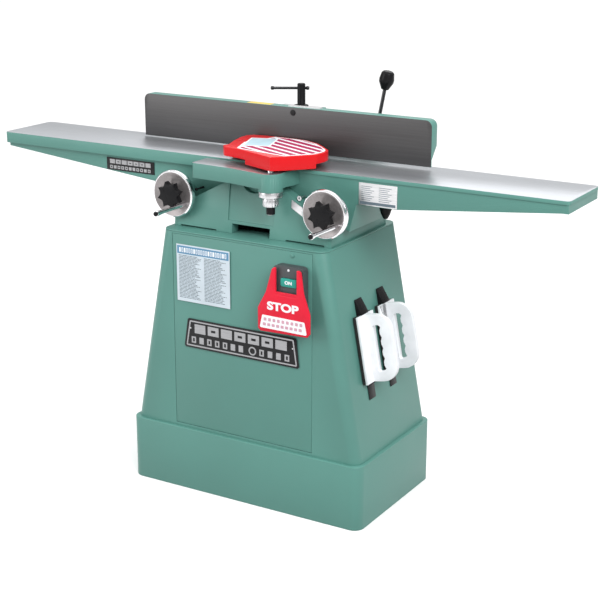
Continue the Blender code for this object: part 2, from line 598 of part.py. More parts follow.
def stand_switch():
    x0, x1 = 0.1250, 0.2190
    made = prism("switch_box", rounded(x0, x1, 0.5600, 0.7350, 0.012, 3), "y", -0.2400, -0.2128, GREY_BOX)
    cut(made, prism("on_pocket", rounded(0.1495, 0.2005, 0.6785, 0.7025, 0.005, 3), "y", -0.300, -0.2320, None,
                    collection=CUTTERS))
    cut_rod(made, (0.172, -0.300, 0.620), (0, 1, 0), 0.0165, 0.068, 24)
    prism("on_button", rounded(0.1500, 0.2000, 0.6790, 0.7020, 0.0045, 3), "y", -0.2440, -0.2355, ON_GREEN)
    lathe("stop_button", rod(0.0160, 0.0090, 0.001), (0.172, -0.2455, 0.620), (0, 1, 0), RED, 24)
    outline = [(0.1280, 0.7260), (0.1340, 0.7310), (0.1400, 0.7310), (0.1400, 0.6560), (0.2060, 0.6560), (0.2060, 0.7320),
               (0.2130, 0.7320), (0.2190, 0.7270), (0.2270, 0.6700), (0.2470, 0.6130), (0.2470, 0.5600), (0.2390, 0.5500),
               (0.0910, 0.5460), (0.0830, 0.5540), (0.0830, 0.6130), (0.1090, 0.6600)]
    made = prism("stop_paddle", outline, "y", -0.2540, -0.2460, RED, (0.173, -0.2500, 0.7270))
    soften(made, 0.0020, 2)


def push_block(label, y):
    norm = math.hypot(1, 0.1847)
    down = (0.1847 / norm, -1 / norm)
    out = (1 / norm, 0.1847 / norm)

    def on_wall(pairs):
        return [(STAND_TOP_X + t * down[0] + n * out[0], STAND_TOP + t * down[1] + n * out[1]) for t, n in pairs]

    strap = [(0.1576, 0.0005), (0.4444, 0.0005), (0.4444, 0.0020), (0.4040, 0.0020), (0.3975, 0.0160), (0.3937, 0.0160),
             (0.3937, 0.0020), (0.2010, 0.0020), (0.2010, 0.0180), (0.1975, 0.0180), (0.1576, 0.0020)]
    prism(label + "_hanger", on_wall(strap), "y", y - 0.019, y + 0.019, BLACK)
    top, low = 0.2016, 0.3931
    foam = [(top, 0.0024), (low, 0.0024), (low, 0.0122), (top, 0.0122)]
    prism(label + "_foam", on_wall(foam), "y", y - 0.043, y + 0.043, RUBBER)
    plate = [(top, 0.0124), (low, 0.0124), (low, 0.0185), (top, 0.0185)]
    made = prism(label + "_block", on_wall(plate), "y", y - 0.044, y + 0.044, WHITE)
    radius = 0.028
    top, low = top + 0.0005, low - 0.0005
    bow = [(top, 0.0150), (low, 0.0150)]
    bow += [(low - radius + radius * math.sin(a), 0.0960 - radius + radius * math.cos(a))
            for a in [math.radians(90 - 15 * k) for k in range(7)]]
    bow += [(top + radius - radius * math.sin(a), 0.0960 - radius + radius * math.cos(a))
            for a in [math.radians(15 * k) for k in range(7)]]
    fuse(made, prism(label + "_bow", on_wall(bow), "y", y - 0.0075, y + 0.0075, None, collection=CUTTERS))
    hole = [(top + 0.036, 0.0370), (low - 0.032, 0.0370), (low - 0.027, 0.0420), (low - 0.030, 0.0560)]
    for k in range(13):
        share = k / 12
        hole.append((low - 0.036 - share * 0.119, 0.0600 + 0.0028 * math.cos(share * 8 * math.pi)))
    hole += [(top + 0.030, 0.0560), (top + 0.031, 0.0420)]
    cut(made, prism(label + "_grip", on_wall(hole), "y", y - 0.020, y + 0.020, None, collection=CUTTERS))


def small_things():
    box("info_plate", (0.313, -0.1095, 0.8965), (0.427, -0.1083, 0.9575), ALUMINIUM)
    box("outfeed_plate", (-0.540, -0.1026, 0.9010), (-0.366, -0.1013, 0.9380), PLATE_BLACK)
    x0, x1 = 0.126, 0.168
    scale = [(x0, way_z(x0) - 0.006), (x1, way_z(x1) - 0.006), (x1, way_z(x1) - 0.028), (x0, way_z(x0) - 0.028)]
    made = prism("depth_scale", scale, "y", -0.0012, 0.0, ALUMINIUM)
    for vertex in made.data.vertices:
        vertex.co.y -= 0.159 - (vertex.co.z - STAND_TOP) * BASE_DRAFT + 0.0004
    knob = [(0, 0.837), (0.0060, 0.838), (0.0125, 0.850), (0.0175, 0.866), (0.0175, 0.885), (0.0100, 0.893), (0.0060, 0.900),
            (0.0060, 0.9617), (0, 0.9617)]
    lathe("infeed_lock", knob, (0.3375, 0.0, 0.0), (0, 0, 1), BLACK, 18)


plinth()
stand_body()
stand_top()
front_panel()
stand_details()
chip_chute()
base_casting()
bearing_block("front_bearing", -0.1270, -0.1062)
bearing_block("rear_bearing", 0.1030, 0.1240)
cutterhead()
drive()
outfeed_table()
infeed_table()
for table, way_side in (("outfeed", -1), ("infeed", 1)):
    table_wheel(table, way_side)
    lead_screw(table, way_side)
guard()
fence()
fence_mount()
fence_handles()
stand_switch()
for place_name, row_y in zip(("front_push", "rear_push"), HANGER_YS):
    push_block(place_name, row_y)
small_things()
bpy.context.view_layer.update()
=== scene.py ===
"""Looks for the jointer: camera, light, procedural materials, refined castings and small fittings."""

import json
import math

import bmesh
import bpy
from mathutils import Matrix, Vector


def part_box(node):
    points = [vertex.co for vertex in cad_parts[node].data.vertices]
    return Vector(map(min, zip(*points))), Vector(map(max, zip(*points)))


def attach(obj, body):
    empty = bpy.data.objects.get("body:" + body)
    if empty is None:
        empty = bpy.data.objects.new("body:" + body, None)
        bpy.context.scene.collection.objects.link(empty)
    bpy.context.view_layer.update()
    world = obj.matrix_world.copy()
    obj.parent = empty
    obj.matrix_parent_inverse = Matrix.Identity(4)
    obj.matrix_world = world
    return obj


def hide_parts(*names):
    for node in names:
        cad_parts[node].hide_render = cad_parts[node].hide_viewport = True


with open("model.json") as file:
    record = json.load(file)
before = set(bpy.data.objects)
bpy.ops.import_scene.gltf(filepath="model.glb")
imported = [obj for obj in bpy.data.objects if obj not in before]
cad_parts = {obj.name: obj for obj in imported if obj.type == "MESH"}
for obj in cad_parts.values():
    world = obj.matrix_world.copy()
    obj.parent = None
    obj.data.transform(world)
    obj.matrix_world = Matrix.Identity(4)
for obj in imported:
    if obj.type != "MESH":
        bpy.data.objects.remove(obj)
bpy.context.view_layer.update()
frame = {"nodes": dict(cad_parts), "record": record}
RECORD = frame["record"]
BODY_OF = {node: body for body, nodes in RECORD["behaviour"]["bodies"].items() for node in nodes}

# Main colours, linear
GREEN = (0.092, 0.246, 0.210)
IRON = (0.52, 0.54, 0.57)
# The fence's machined face: the table tops' grey ground iron, made near-black as painted shade and painted
# reflection on the upright face
FENCE_PAINTED_SHADE_IRON = (0.072, 0.070, 0.071)
RED = (0.66, 0.008, 0.012)
BLACK = (0.012, 0.012, 0.013)
WHITE = (0.87, 0.89, 0.92)

# The stand's side wall: its top corner and its lean
WALL_TOP, WALL_LEAN = (0.267, 0.779), 0.1847
# The push blocks' handle: its ends along the wall, its reach, and its corner radius in the CAD and as seen
BOW_ENDS, BOW_REACH = (0.2021, 0.3926), 0.0960
BOW_RADIUS, BOW_ROUND = 0.028, 0.045

# The guard label: the turn of its panel, and its stripes' turn and pitch
LABEL_TURN = math.radians(20)
STRIPE_TURN = math.radians(-24)
STRIPE_PITCH = 0.029

# Light: the sky's strength at the horizon and overhead, and how pale the floor is
SKY_LOW, SKY_HIGH = 0.34, 1.50
FLOOR_TONE = 0.95
FLOOR_REACH, FLOOR_LEVEL = 30, -0.0005
# Each light's name, place, target, size and power
LIGHTS = (("key", (3.2, -2.2, 3.4), (0, 0, 0.7), (2.4, 2.4), 165),
          ("fill", (-2.8, -3.4, 2.2), (0, 0, 0.8), (2.6, 2.6), 80),
          ("back", (-1.0, 3.2, 3.2), (0, 0, 0.9), (3.0, 2.0), 22))

# The camera: sensor and lens in mm, place in metres, angles in radians
SENSOR_WIDTH, LENS = 36.0, 84.51
CAMERA_PLACE = (2.0642, -3.3296, 1.7502)
CAMERA_DOWN, CAMERA_TURN = 0.2967, 0.5407

# Places in the CAD frame, metres
FENCE_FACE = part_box("fence")[0].y
FENCE_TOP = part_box("fence")[1].z
OUT_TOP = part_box("outfeed_table")[1].z
IN_TOP = 0.974
POST = (0.087, -0.190)
WHEEL_X, WHEEL_Z = 0.246, 0.874


# ---------- camera, light and floor ----------

def set_camera():
    data = bpy.data.cameras.new("camera")
    data.sensor_width = SENSOR_WIDTH
    data.lens = LENS
    view = bpy.data.objects.new("camera", data)
    bpy.context.scene.collection.objects.link(view)
    view.location = CAMERA_PLACE
    view.rotation_euler = (math.pi / 2 - CAMERA_DOWN, 0.0, CAMERA_TURN)
    bpy.context.scene.camera = view


def area_light(name, place, target, size, power):
    data = bpy.data.lights.new(name, "AREA")
    data.shape = "RECTANGLE"
    data.size, data.size_y = size
    data.energy = power
    lamp = bpy.data.objects.new(name, data)
    bpy.context.scene.collection.objects.link(lamp)
    lamp.location = place
    lamp.rotation_euler = (Vector(target) - Vector(place)).to_track_quat("-Z", "Y").to_euler()


def set_stage():
    world = bpy.data.worlds.new("studio")
    world.use_nodes = True
    tree = world.node_tree
    place = tree.nodes.new("ShaderNodeTexCoord")
    split = tree.nodes.new("ShaderNodeSeparateXYZ")
    height = tree.nodes.new("ShaderNodeMapRange")
    height.inputs["To Min"].default_value = SKY_LOW
    height.inputs["To Max"].default_value = SKY_HIGH
    tree.links.new(place.outputs["Generated"], split.inputs["Vector"])
    tree.links.new(split.outputs["Z"], height.inputs["Value"])
    tree.links.new(height.outputs["Result"], tree.nodes["Background"].inputs["Strength"])
    tree.nodes["Background"].inputs["Color"].default_value = (1.0, 1.0, 1.0, 1.0)
    bpy.context.scene.world = world
    bpy.context.scene.view_settings.view_transform = "Standard"
    for light in LIGHTS:
        area_light(*light)
    bm = bmesh.new()
    for x, y in ((-1, -1), (1, -1), (1, 1), (-1, 1)):
        bm.verts.new((x * FLOOR_REACH, y * FLOOR_REACH, FLOOR_LEVEL))
    bm.faces.new(bm.verts)
    floor = link("studio_floor", bm)
    paint = bpy.data.materials.new("studio_floor")
    paint.use_nodes = True
    tree = paint.node_tree
    shader = tree.nodes["Principled BSDF"]
    shader.inputs["Roughness"].default_value = 0.9
    shader.inputs["Specular IOR Level"].default_value = 0.0
    shader.inputs["Base Color"].default_value = (FLOOR_TONE, FLOOR_TONE, FLOOR_TONE, 1)
    floor.data.materials.append(paint)
    floor.visible_diffuse = False


# ---------- mesh helpers ----------

def link(name, bm):
    bmesh.ops.recalc_face_normals(bm, faces=bm.faces)
    data = bpy.data.meshes.new(name)
    bm.to_mesh(data)
    bm.free()
    made = bpy.data.objects.new(name, data)
    bpy.context.scene.collection.objects.link(made)
    return made


def add_box(bm, low, high):
    verts = [bm.verts.new((x, y, z))
             for z in (low[2], high[2]) for y in (low[1], high[1]) for x in (low[0], high[0])]
    for quad in ((0, 2, 3, 1), (4, 5, 7, 6), (0, 1, 5, 4), (2, 6, 7, 3), (0, 4, 6, 2), (1, 3, 7, 5)):
        bm.faces.new([verts[i] for i in quad])


def add_prism(bm, outline, axis, low, high):
    def at(pair, along):
        a, b = pair
        return {"x": (along, a, b), "y": (a, along, b), "z": (a, b, along)}[axis]

    near = [bm.verts.new(at(p, low)) for p in outline]
    far = [bm.verts.new(at(p, high)) for p in outline]
    bm.faces.new(near)
    bm.faces.new(list(reversed(far)))
    for i in range(len(outline)):
        j = (i + 1) % len(outline)
        bm.faces.new((near[i], near[j], far[j], far[i]))


def add_lathe(bm, profile, centre, direction, steps=32, ring=False):
    along = Vector(direction).normalized()
    side = along.orthogonal().normalized()
    other = along.cross(side)
    rows = []
    for radius, distance in profile:
        middle = Vector(centre) + along * distance
        if radius < 1e-7:
            rows.append([bm.verts.new(middle)])
            continue
        turn = [2 * math.pi * i / steps for i in range(steps)]
        rows.append([bm.verts.new(middle + (side * math.cos(a) + other * math.sin(a)) * radius)
                     for a in turn])
    pairs = list(zip(rows, rows[1:]))
    if ring:
        pairs.append((rows[-1], rows[0]))
    for first, second in pairs:
        for i in range(steps):
            j = (i + 1) % steps
            if len(first) == 1 and len(second) == 1:
                continue
            if len(first) == 1:
                bm.faces.new((first[0], second[i], second[j]))
            elif len(second) == 1:
                bm.faces.new((first[i], second[0], first[j]))
            else:
                bm.faces.new((first[i], first[j], second[j], second[i]))


def arc(cx, cy, radius, start, end, steps):
    turn = [math.radians(start + (end - start) * i / steps) for i in range(steps + 1)]
    return [(cx + radius * math.cos(a), cy + radius * math.sin(a)) for a in turn]


def rounded(x0, x1, y0, y1, r, steps=5):
    return (arc(x1 - r, y1 - r, r, 0, 90, steps) + arc(x0 + r, y1 - r, r, 90, 180, steps)
            + arc(x0 + r, y0 + r, r, 180, 270, steps) + arc(x1 - r, y0 + r, r, 270, 360, steps))


def smooth(made, angle=35):
    made.data.shade_smooth()
    made.data.set_sharp_from_angle(angle=math.radians(angle))


def finish_piece(made, body, material, width=0.0, segments=2, angle=35):
    if width > 0:
        step = made.modifiers.new("edge", "BEVEL")
        step.width = width
        step.segments = segments
        step.limit_method = "ANGLE"
        step.angle_limit = math.radians(angle)
        step.harden_normals = False
    smooth(made, 50 if width > 0 else angle)
    if material is not None:
        made.data.materials.clear()
        made.data.materials.append(material)
    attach(made, body)
    return made


def refined(node, material, width=0.0008, segments=2, angle=28, reshape=None):
    """A cleaned copy of a CAD node with rounded edges and smooth shading, standing in for it."""
    source = frame["nodes"][node]
    data = source.data.copy()
    made = bpy.data.objects.new(node + "_fine", data)
    bpy.context.scene.collection.objects.link(made)
    bm = bmesh.new()
    bm.from_mesh(data)
    bmesh.ops.remove_doubles(bm, verts=bm.verts, dist=0.000004)
    bmesh.ops.dissolve_limit(bm, angle_limit=math.radians(0.6), verts=bm.verts, edges=bm.edges)
    if reshape:
        reshape(bm)
    if width > 0:
        sharp = [e for e in bm.edges if len(e.link_faces) == 2 and e.calc_face_angle(0) > math.radians(angle)]
        bmesh.ops.bevel(bm, geom=sharp, offset=width, segments=segments, profile=0.5, affect="EDGES",
                        clamp_overlap=True)
    bmesh.ops.triangulate(bm, faces=[f for f in bm.faces if len(f.verts) > 4])
    bm.to_mesh(data)
    bm.free()
    smooth(made, 40)
    data.materials.clear()
    data.materials.append(material)
    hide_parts(node)
    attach(made, BODY_OF[node])
    return made


# ---------- materials ----------

def new_material(name, colour, roughness, metallic=0.0, specular=0.5):
    made = bpy.data.materials.new(name)
    made.use_nodes = True
    tree = made.node_tree
    shader = tree.nodes["Principled BSDF"]
    shader.inputs["Base Color"].default_value = (*colour, 1)
    shader.inputs["Roughness"].default_value = roughness
    shader.inputs["Metallic"].default_value = metallic
    shader.inputs["Specular IOR Level"].default_value = specular
    return made, tree, shader


def add_noise(tree, scale, stretch=(1, 1, 1), detail=3.0):
    place = tree.nodes.new("ShaderNodeTexCoord")
    mapping = tree.nodes.new("ShaderNodeMapping")
    mapping.inputs["Scale"].default_value = stretch
    noise = tree.nodes.new("ShaderNodeTexNoise")
    noise.inputs["Scale"].default_value = scale
    noise.inputs["Detail"].default_value = detail
    tree.links.new(place.outputs["Object"], mapping.inputs["Vector"])
    tree.links.new(mapping.outputs["Vector"], noise.inputs["Vector"])
    return noise.outputs["Fac"]


def vary_colour(tree, shader, factor, dark, light):
    ramp = tree.nodes.new("ShaderNodeValToRGB")
    ramp.color_ramp.elements[0].position = 0.3
    ramp.color_ramp.elements[1].position = 0.7
    ramp.color_ramp.elements[0].color = (*dark, 1)
    ramp.color_ramp.elements[1].color = (*light, 1)
    tree.links.new(factor, ramp.inputs["Fac"])
    tree.links.new(ramp.outputs["Color"], shader.inputs["Base Color"])


def vary_roughness(tree, shader, factor, low, high):
    span = tree.nodes.new("ShaderNodeMapRange")
    span.inputs["To Min"].default_value = low
    span.inputs["To Max"].default_value = high
    tree.links.new(factor, span.inputs["Value"])
    tree.links.new(span.outputs["Result"], shader.inputs["Roughness"])


def add_bump(tree, shader, factor, strength, distance):
    bump = tree.nodes.new("ShaderNodeBump")
    bump.inputs["Strength"].default_value = strength
    bump.inputs["Distance"].default_value = distance
    tree.links.new(factor, bump.inputs["Height"])
    tree.links.new(bump.outputs["Normal"], shader.inputs["Normal"])


def scaled(colour, amount):
    return tuple(min(1.0, c * amount) for c in colour)


def enamel(name, colour, grain=900.0, depth=0.10, gloss=(0.34, 0.46), specular=0.4):
    """Sprayed machine enamel: slow tone drift, orange peel or cast grain below it, uneven gloss."""
    made, tree, shader = new_material(name, colour, 0.4, 0.0, specular)
    vary_colour(tree, shader, add_noise(tree, 3.5, detail=5), scaled(colour, 0.95), scaled(colour, 1.05))
    vary_roughness(tree, shader, add_noise(tree, 14.0), *gloss)
    add_bump(tree, shader, add_noise(tree, grain, detail=2), depth, 0.0006)
    return made


def ground_metal(name, colour, stretch, gloss=(0.26, 0.40), depth=0.05, metallic=0.9):
    """Ground or brushed metal: fine scratches along one way, a slow stain, uneven gloss."""
    made, tree, shader = new_material(name, colour, 0.3, metallic)
    vary_colour(tree, shader, add_noise(tree, 1.0, stretch, 4), scaled(colour, 0.88), scaled(colour, 1.08))
    vary_roughness(tree, shader, add_noise(tree, 1.0, stretch, 2), *gloss)
    add_bump(tree, shader, add_noise(tree, 1.0, stretch, 2), depth, 0.0003)
    return made


def plastic(name, colour, gloss=(0.34, 0.5), grain=700.0, depth=0.08, specular=0.4):
    made, tree, shader = new_material(name, colour, 0.4, 0.0, specular)
    vary_colour(tree, shader, add_noise(tree, 20.0), scaled(colour, 0.93), scaled(colour, 1.05))
    vary_roughness(tree, shader, add_noise(tree, 30.0), *gloss)
    add_bump(tree, shader, add_noise(tree, grain, detail=2), depth, 0.0004)
    return made


SHEET_GREEN = enamel("sheet_enamel", GREEN)
CAST_GREEN = enamel("cast_enamel", GREEN, 260.0, 0.28, (0.38, 0.52))
TOP_IRON = ground_metal("ground_top", IRON, (6.0, 900.0, 900.0), (0.30, 0.42), 0.04, 0.85)
# The fence face: its near-black colour is painted shade and painted reflection, not the ground steel's own
# grey
FENCE_FACE_PAINTED_SHADE = ground_metal("ground_fence_painted_shade", FENCE_PAINTED_SHADE_IRON, (5.0, 700.0, 700.0), (0.36, 0.5), 0.06, 0.6)
STEEL = ground_metal("turned_steel", (0.55, 0.55, 0.56), (700.0, 700.0, 60.0), (0.22, 0.36), 0.05, 1.0)
CHROME = ground_metal("chrome_plate", (0.80, 0.80, 0.82), (60.0, 60.0, 60.0), (0.06, 0.13), 0.01, 1.0)
DULL_IRON = ground_metal("satin_wheel_face", (0.27, 0.25, 0.25), (160.0, 160.0, 160.0), (0.34, 0.5), 0.12,
                         0.75)
BLACK_PLASTIC = plastic("black_moulded", (0.010, 0.010, 0.011), (0.22, 0.34), 500.0, 0.05, 0.10)
BLACK_METAL = enamel("black_enamel", BLACK, 500.0, 0.08, (0.3, 0.42), 0.16)
BLACK_STEEL = ground_metal("black_steel", (0.055, 0.055, 0.058), (400.0, 400.0, 90.0), (0.2, 0.3), 0.04, 1.0)
RUBBER = plastic("foam_rubber", (0.018, 0.018, 0.018), (0.75, 0.95), 1200.0, 0.5)
GUARD_RED = enamel("guard_enamel", RED, 420.0, 0.12, (0.24, 0.34), 0.22)
RED_PLASTIC = plastic("stop_plastic", (0.72, 0.014, 0.040), (0.25, 0.36), 400.0, 0.03, 0.22)
LABEL_CRIMSON = plastic("label_crimson", (0.40, 0.016, 0.090), (0.35, 0.5), 300.0, 0.02, 0.2)
WHITE_PLASTIC = plastic("white_moulded", WHITE, (0.36, 0.5), 260.0, 0.07)
SWITCH_GREY = plastic("switch_case", (0.055, 0.062, 0.066), (0.4, 0.55), 900.0, 0.15)
ON_GREEN = plastic("start_button", (0.010, 0.30, 0.24), (0.28, 0.4), 300.0, 0.03)
LABEL_WHITE = plastic("label_stock", (0.60, 0.68, 0.74), (0.3, 0.42), 150.0, 0.02)
LABEL_PINK = plastic("label_pink", (0.62, 0.34, 0.42), (0.35, 0.5), 300.0, 0.02)
LABEL_BLUE = plastic("label_blue", (0.10, 0.26, 0.42), (0.3, 0.42), 150.0, 0.02)
LABEL_PALE = plastic("label_pale_blue", (0.48, 0.66, 0.74), (0.3, 0.42), 150.0, 0.02)
INK = plastic("label_ink", (0.11, 0.15, 0.18), (0.4, 0.5), 150.0, 0.02)
PLATE_BLACK = enamel("plate_black", (0.010, 0.010, 0.011), 700.0, 0.05, (0.28, 0.4), 0.2)
PLATE_GREY = ground_metal("plate_raised", (0.30, 0.30, 0.31), (30.0, 600.0, 600.0), (0.28, 0.4), 0.05, 0.9)
ALUMINIUM = ground_metal("plate_aluminium", (0.62, 0.62, 0.63), (30.0, 800.0, 800.0), (0.3, 0.42), 0.05, 0.9)
YELLOW = plastic("yellow_label", (0.72, 0.50, 0.05), (0.35, 0.5), 200.0, 0.02)


# ---------- refined castings and sheet metal ----------

def second_material(made, material, test):
    made.data.materials.append(material)
    for face in made.data.polygons:
        if test(face):
            face.material_index = 1


def rounder_bow(bm):
    """Draws the handle's two outer corners with a larger radius, inside the CAD outline."""
    lean = math.hypot(1, WALL_LEAN)
    down = (WALL_LEAN / lean, -1 / lean)
    out = (1 / lean, WALL_LEAN / lean)
    for vertex in bm.verts:
        x, z = vertex.co.x - WALL_TOP[0], vertex.co.z - WALL_TOP[1]
        t, n = x * down[0] + z * down[1], x * out[0] + z * out[1]
        for end, toward in ((BOW_ENDS[0], -1), (BOW_ENDS[1], 1)):
            dt, dn = t - (end - toward * BOW_RADIUS), n - (BOW_REACH - BOW_RADIUS)
            if dt * toward < -0.0001 or dn < -0.0001 or abs(math.hypot(dt, dn) - BOW_RADIUS) > 0.0004:
                continue
            grow = BOW_ROUND / BOW_RADIUS
            new_t = end - toward * BOW_ROUND + dt * grow
            new_n = BOW_REACH - BOW_ROUND + dn * grow
            vertex.co.x = WALL_TOP[0] + new_t * down[0] + new_n * out[0]
            vertex.co.z = WALL_TOP[1] + new_t * down[1] + new_n * out[1]


def refine_all():
    for node in ("plinth", "stand_body", "front_panel", "belt_guard", "stand_top", "motor_shelf"):
        refined(node, SHEET_GREEN, 0.0016, 3)
    for node in ("base_casting", "fence_support", "front_bearing", "rear_bearing"):
        refined(node, CAST_GREEN, 0.0018, 3)
    out = refined("outfeed_table", CAST_GREEN, 0.0012, 2)
    second_material(out, TOP_IRON, lambda f: f.normal.z > 0.9 and f.center.z > OUT_TOP - 0.0006)
    infeed = refined("infeed_table", CAST_GREEN, 0.0012, 2)
    second_material(infeed, TOP_IRON, lambda f: f.normal.z > 0.9 and f.center.z > IN_TOP - 0.0006)
    fence = refined("fence", CAST_GREEN, 0.0010, 2)
    second_material(fence, FENCE_FACE_PAINTED_SHADE, lambda f: f.normal.y < -0.9 and f.center.y < FENCE_FACE + 0.0012)
    refined("fence_carriage", CAST_GREEN, 0.0014, 2)
    for node in ("chip_chute", "cutterhead", "cutter_pulley", "motor_pulley", "outfeed_lead_screw",
                 "infeed_lead_screw", "outfeed_nut", "infeed_nut", "guard_post", "post_flange",
                 "fence_quadrant_l", "fence_quadrant_r", "knife_1", "knife_2", "knife_3"):
        refined(node, STEEL, 0.0004, 2)
    for node in ("infeed_lock_knob", "outfeed_lock_knob", "tilt_lever_knob", "infeed_lock",
                 "slide_lock_post", "dust_port", "front_push_hanger", "rear_push_hanger"):
        refined(node, BLACK_PLASTIC, 0.0006, 2)
    refined("motor", BLACK_METAL, 0.0010, 2)
    refined("v_belt", RUBBER, 0.0004, 1)
    for node in ("front_push_foam", "rear_push_foam"):
        refined(node, RUBBER, 0.0010, 2)
    refined("guard", GUARD_RED, 0.0022, 4)
    refined("tilt_lever", BLACK_STEEL, 0.0006, 2)
    refined("slide_lock_bar", BLACK_STEEL, 0.0003, 2)
    for node in ("front_push_block", "rear_push_block"):
        refined(node, WHITE_PLASTIC, 0.0022, 3, reshape=rounder_bow)
    refined("stop_paddle", RED_PLASTIC, 0.0012, 3)
    refined("stop_button", RED_PLASTIC, 0.0010, 2)
    refined("switch_box", SWITCH_GREY, 0.0030, 3)
    refined("on_button", ON_GREEN, 0.0010, 2)
    refined("instruction_plate", LABEL_WHITE, 0.0002, 1)
    refined("name_plate", PLATE_BLACK, 0.0005, 2)
    refined("outfeed_plate", PLATE_BLACK, 0.0004, 2)
    refined("info_plate", ALUMINIUM, 0.0003, 1)
    refined("depth_scale", ALUMINIUM, 0.0003, 1)


# ---------- wheels ----------

def wheel(side, label):
    """A satin face with a polished outer rim, and the shaft that carries the bevel gear."""
    x = side * WHEEL_X
    body = label + "_wheel"
    bm = bmesh.new()
    rim = [(0.0600, -0.1812), (0.0640, -0.1815), (0.0668, -0.1798), (0.0682, -0.1765), (0.0685, -0.1735),
           (0.0683, -0.1680), (0.0672, -0.1645), (0.0640, -0.1628), (0.0600, -0.1640)]
    add_lathe(bm, rim, (x, 0, WHEEL_Z), (0, 1, 0), 80, True)
    rim_piece = link(label + "_rim", bm)
    finish_piece(rim_piece, body, CHROME)
    bm = bmesh.new()
    web = [(0, -0.1800), (0.0078, -0.1800), (0.0085, -0.1768), (0.0240, -0.1764), (0.0262, -0.1752),
           (0.0420, -0.1758), (0.0560, -0.1790), (0.0600, -0.1813), (0.0628, -0.1816), (0.0628, -0.1790),
           (0.0600, -0.1700), (0.0420, -0.1672), (0.0265, -0.1665), (0.0225, -0.1506), (0.0080, -0.1506),
           (0.0080, -0.0790), (0.0130, -0.0790), (0.0100, -0.0660), (0, -0.0660)]
    add_lathe(bm, web, (x, 0, WHEEL_Z), (0, 1, 0), 80)
    web_piece = link(label + "_web", bm)
    finish_piece(web_piece, body, DULL_IRON)
    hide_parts(label + "_wheel")


def crank(side, label):
    """The chromed revolving handle, waisted, with a black end set in a ring."""
    a = math.radians(-33)
    gx, gz = side * WHEEL_X + 0.0470 * math.cos(a), WHEEL_Z + 0.0470 * math.sin(a)
    grip = [(0, -0.0080), (0.0060, -0.0082), (0.0079, -0.0078), (0.0080, -0.0020), (0.0074, 0.0020),
            (0.0066, 0.0080), (0.0058, 0.020), (0.0053, 0.040), (0.0051, 0.060), (0.0054, 0.080),
            (0.0059, 0.100), (0.0062, 0.115), (0.0062, 0.1280), (0.0055, 0.1300), (0, 0.1300)]
    bm = bmesh.new()
    add_lathe(bm, grip, (gx, -0.3045, gz), (0, 1, 0), 36)
    shaft = finish_piece(link(label + "_crank", bm), label + "_crank", CHROME)
    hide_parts(label + "_crank_handle")
    tip = [(0, -0.0145), (0.0040, -0.0140), (0.0062, -0.0122), (0.0068, -0.0095), (0.0066, -0.0081),
           (0, -0.0081)]
    bm = bmesh.new()
    add_lathe(bm, tip, (gx, -0.3045, gz), (0, 1, 0), 32)
    finish_piece(link(label + "_crank_end", bm), label + "_crank", BLACK_PLASTIC)


def lock_knob_trim(side, label):
    x = side * WHEEL_X
    bm = bmesh.new()
    cap = [(0, -0.2009), (0.0100, -0.2009), (0.0125, -0.2000), (0.0135, -0.1990), (0, -0.1990)]
    add_lathe(bm, cap, (x, 0, WHEEL_Z), (0, 1, 0), 32)
    finish_piece(link(label + "_knob_cap", bm), label + "_lock_knob", BLACK_METAL)


# ---------- guard ----------

def guard_plan():
    return [(0.100, -0.213), (0.034, -0.1865), (-0.0335, -0.1594), (-0.088, -0.150), (-0.104, -0.132),
            (-0.098, -0.112), (-0.116, -0.060), (-0.128, -0.010), (-0.131, 0.028), (-0.118, 0.044),
            (-0.090, 0.051), (-0.036, 0.0525), (0.020, 0.0515), (0.061, 0.0462), (0.112, 0.020),
            (0.1556, -0.0188), (0.184, -0.048), (0.192, -0.0672), (0.193, -0.090), (0.188, -0.118),
            (0.1655, -0.1465), (0.135, -0.180)]


def turned(centre, length, width, angle):
    """A rectangle's corners, turned about its centre in the plane."""
    along = Vector((math.cos(angle), math.sin(angle)))
    across = Vector((-along.y, along.x))
    return [tuple(Vector(centre) + along * (i * length / 2) + across * (j * width / 2))
            for i, j in ((-1, -1), (1, -1), (1, 1), (-1, 1))]


def inside_convex(shape, keep):
    """The part of a polygon inside a convex one whose corners run anticlockwise."""
    for i, start in enumerate(keep):
        end = keep[(i + 1) % len(keep)]
        edge = (end[0] - start[0], end[1] - start[1])

        def side(p):
            return edge[0] * (p[1] - start[1]) - edge[1] * (p[0] - start[0])

        result = []
        for k, here in enumerate(shape):
            after = shape[(k + 1) % len(shape)]
            near, far = side(here), side(after)
            if near >= 0:
                result.append(here)
            if near * far < 0:
                share = near / (near - far)
                result.append((here[0] + share * (after[0] - here[0]),
                               here[1] + share * (after[1] - here[1])))
        shape = result
        if len(shape) < 3:
            return []
    return shape


def anticlockwise(shape):
    area = sum(p[0] * q[1] - q[0] * p[1] for p, q in zip(shape, shape[1:] + shape[:1]))
    return shape if area > 0 else shape[::-1]


